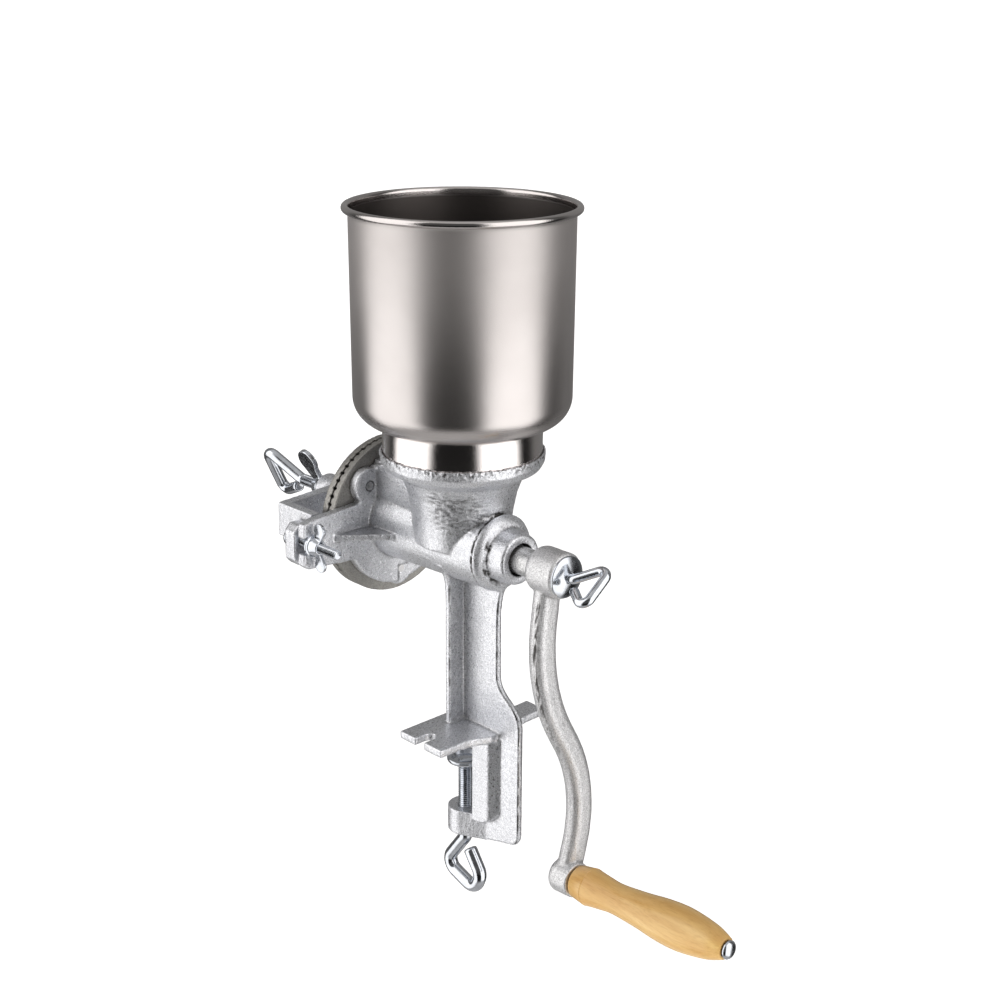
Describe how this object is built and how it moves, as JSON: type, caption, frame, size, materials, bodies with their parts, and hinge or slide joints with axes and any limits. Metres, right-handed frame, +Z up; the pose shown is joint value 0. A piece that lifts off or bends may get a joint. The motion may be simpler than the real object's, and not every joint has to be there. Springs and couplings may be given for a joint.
{
  "type": "grain mill",
  "caption": "Hand-cranked plate grain mill: tall steel hopper over a cast body with an auger, burrs, a screw-adjusted bracket, a curved crank with a wooden grip and a table clamp.",
  "frame": {"origin": "underside of the table jaw, where the axis of the clamp screw meets it", "axes": "+X along the auger from the burrs towards the crank, +Z up through the hopper, +Y completes the right-handed set"},
  "size_m": [0.4143, 0.157, 0.4487],
  "materials": {
    "hopper_steel": "satin",
    "cast_tin": "rough, tinned",
    "burr_iron": "rough",
    "bracket_tin": "rough, tinned",
    "crank_tin": "satin, tinned",
    "shaft_steel": "satin",
    "zinc_screw": "zinc-plated",
    "grip_wood": "varnished"
  },
  "bodies": {
    "frame": {"mill_body": "cast_tin", "stationary_burr": "burr_iron", "burr_pins": "shaft_steel", "pressure_bracket": "bracket_tin", "bracket_bolts": "zinc_screw"},
    "hopper": {"hopper": "hopper_steel"},
    "thrust": {"thrust_ball": "shaft_steel"},
    "adjuster": {"adjusting_screw": "zinc_screw"},
    "rotor": {"auger": "shaft_steel", "rotating_burr": "burr_iron", "burr_carrier": "cast_tin", "carrier_pins": "shaft_steel", "drive_pin": "shaft_steel", "crank": "crank_tin", "handle_bolt": "zinc_screw"},
    "grip": {"handle_grip": "grip_wood"},
    "crank_washer": {"crank_washer": "zinc_screw"},
    "crank_screw": {"crank_screw": "zinc_screw"},
    "washer_left": {"bracket_washer_left": "zinc_screw"},
    "nut_left": {"wing_nut_left": "zinc_screw"},
    "washer_right": {"bracket_washer_right": "zinc_screw"},
    "nut_right": {"wing_nut_right": "zinc_screw"},
    "lock_nut": {"lock_nut": "zinc_screw"},
    "pad": {"clamp_pad": "zinc_screw"},
    "clamp": {"clamp_screw": "zinc_screw"}
  },
  "joints": [
    {"name": "hopper_lift", "type": "slide", "parent": "frame", "child": "hopper", "axis": [0, 0, 1], "range_m": [0, 0.03]},
    {"name": "adjust_travel", "type": "slide", "parent": "frame", "child": "thrust", "axis": [1, 0, 0], "range_m": [-0.004, 0.0009]},
    {"name": "adjust_screw_turn", "type": "hinge", "parent": "thrust", "child": "adjuster", "pos_m": [0, 0, 0.124], "axis": [1, 0, 0], "range_deg": [-1153, 260]},
    {"name": "crank_turn", "type": "hinge", "parent": "thrust", "child": "rotor", "pos_m": [0, 0, 0.124], "axis": [1, 0, 0], "continuous": true},
    {"name": "grip_turn", "type": "hinge", "parent": "rotor", "child": "grip", "pos_m": [0.08595, 0.00616, -0.07551], "axis": [0.9976, 0, 0.0698], "continuous": true},
    {"name": "crank_screw_travel", "type": "slide", "parent": "rotor", "child": "crank_washer", "axis": [1, 0, 0], "range_m": [0, 0.012]},
    {"name": "crank_screw_turn", "type": "hinge", "parent": "crank_washer", "child": "crank_screw", "pos_m": [0, 0, 0.124], "axis": [1, 0, 0], "range_deg": [-1, 4321]},
    {"name": "wing_nut_left_travel", "type": "slide", "parent": "frame", "child": "washer_left", "axis": [1, 0, 0], "range_m": [0, 0.015]},
    {"name": "wing_nut_left_turn", "type": "hinge", "parent": "washer_left", "child": "nut_left", "pos_m": [0, -0.071, 0.1215], "axis": [1, 0, 0], "range_deg": [-1, 5401]},
    {"name": "wing_nut_right_travel", "type": "slide", "parent": "frame", "child": "washer_right", "axis": [1, 0, 0], "range_m": [0, 0.015]},
    {"name": "wing_nut_right_turn", "type": "hinge", "parent": "washer_right", "child": "nut_right", "pos_m": [0, 0.071, 0.1215], "axis": [1, 0, 0], "range_deg": [-1, 5401]},
    {"name": "lock_nut_turn", "type": "hinge", "parent": "frame", "child": "lock_nut", "pos_m": [0, 0, 0.124], "axis": [1, 0, 0], "range_deg": [-90, 0]},
    {"name": "clamp_travel", "type": "slide", "parent": "frame", "child": "pad", "axis": [0, 0, 1], "range_m": [-0.028, 0]},
    {"name": "clamp_screw_turn", "type": "hinge", "parent": "pad", "child": "clamp", "pos_m": [0, 0, 0], "axis": [0, 0, 1], "range_deg": [-6721, 1]}
  ],
  "couplings": [
    {"joint": "adjust_screw_turn", "follows": "adjust_travel", "rad_per_m": 5026.5},
    {"joint": "crank_screw_turn", "follows": "crank_screw_travel", "rad_per_m": 6283.2},
    {"joint": "wing_nut_left_turn", "follows": "wing_nut_left_travel", "rad_per_m": 6283.2},
    {"joint": "wing_nut_right_turn", "follows": "wing_nut_right_travel", "rad_per_m": 6283.2},
    {"joint": "clamp_screw_turn", "follows": "clamp_travel", "rad_per_m": 4188.8}
  ]
}
